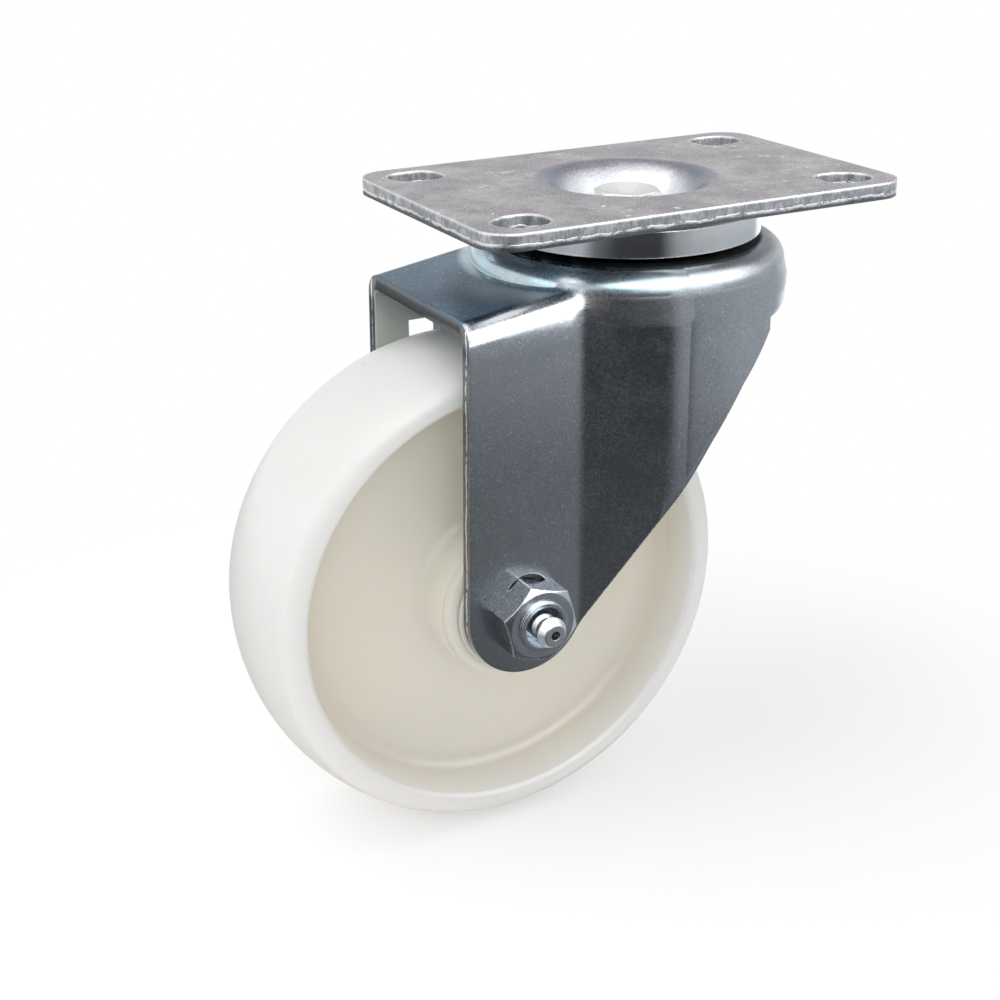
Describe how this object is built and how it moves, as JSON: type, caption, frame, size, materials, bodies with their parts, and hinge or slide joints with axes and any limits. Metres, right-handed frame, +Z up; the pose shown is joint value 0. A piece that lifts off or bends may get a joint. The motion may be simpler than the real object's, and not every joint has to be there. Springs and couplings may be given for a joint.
{
  "type": "swivel castor",
  "caption": "Swivel castor with a slotted top plate, a double row of swivel balls, a pressed steel fork and a solid white wheel on a greased axle.",
  "frame": {"origin": "the middle of the top plate's upper face, on the swivel axis, at the centre of the four bolt slots", "axes": "+Z up along the swivel axis, towards the surface the plate is bolted under; +X along the plate's long side, away from the wheel's trail; the axle lies along Y, with the grease fitting on the -Y side"},
  "size_m": [0.132, 0.0659, 0.1286],
  "materials": {
    "plated_sheet": "Zinc-plated pressed steel, satin, with faint blue and grey tints",
    "bright_race": "Polished plated steel, mirror bright",
    "plated_fastener": "Zinc-plated steel, slightly dull",
    "hardened_steel": "Ground steel with a film of grease",
    "spring_steel": "Drawn spring wire",
    "locking_nylon": "Nylon ring pressed into the nut",
    "white_nylon": "Natural white cast nylon, satin, slightly translucent",
    "seal_plastic": "Dark moulded plastic",
    "cage_plastic": "Tan moulded nylon, greased"
  },
  "bodies": {
    "plate": {"top_plate": "plated_sheet", "upper_race": "bright_race", "kingpin": "plated_fastener", "lower_race": "plated_sheet", "kingpin_nut": "plated_fastener"},
    "load_ball_row": {"load_balls": "hardened_steel"},
    "thrust_ball_row": {"thrust_balls": "hardened_steel"},
    "fork": {"fork": "plated_sheet", "axle_bolt": "plated_fastener", "axle_lock_nut": "plated_fastener", "nut_locking_ring": "locking_nylon", "axle_sleeve": "hardened_steel", "near_thrust_washer": "white_nylon", "far_thrust_washer": "white_nylon", "grease_fitting": "plated_fastener", "grease_check_ball": "hardened_steel", "grease_spring": "spring_steel"},
    "wheel": {"wheel": "white_nylon", "bearing_shell": "hardened_steel", "near_bearing_seal": "seal_plastic", "far_bearing_seal": "seal_plastic"},
    "roller_set": {"roller_cage": "cage_plastic", "rollers": "hardened_steel"}
  },
  "joints": [
    {"name": "swivel", "type": "hinge", "parent": "plate", "child": "fork", "pos_m": [0, 0, 0], "axis": [0, 0, 1], "continuous": true},
    {"name": "load_ball_orbit", "type": "hinge", "parent": "plate", "child": "load_ball_row", "pos_m": [0, 0, 0], "axis": [0, 0, 1], "continuous": true},
    {"name": "thrust_ball_orbit", "type": "hinge", "parent": "plate", "child": "thrust_ball_row", "pos_m": [0, 0, 0], "axis": [0, 0, 1], "continuous": true},
    {"name": "wheel_spin", "type": "hinge", "parent": "fork", "child": "wheel", "pos_m": [-0.0351, 0, -0.0778], "axis": [0, 1, 0], "continuous": true},
    {"name": "roller_orbit", "type": "hinge", "parent": "fork", "child": "roller_set", "pos_m": [-0.0351, 0, -0.0778], "axis": [0, 1, 0], "continuous": true}
  ],
  "couplings": [
    {"joint": "load_ball_orbit", "follows": "swivel", "ratio": 0.5},
    {"joint": "thrust_ball_orbit", "follows": "swivel", "ratio": 0.5},
    {"joint": "roller_orbit", "follows": "wheel_spin", "ratio": 0.621}
  ]
}
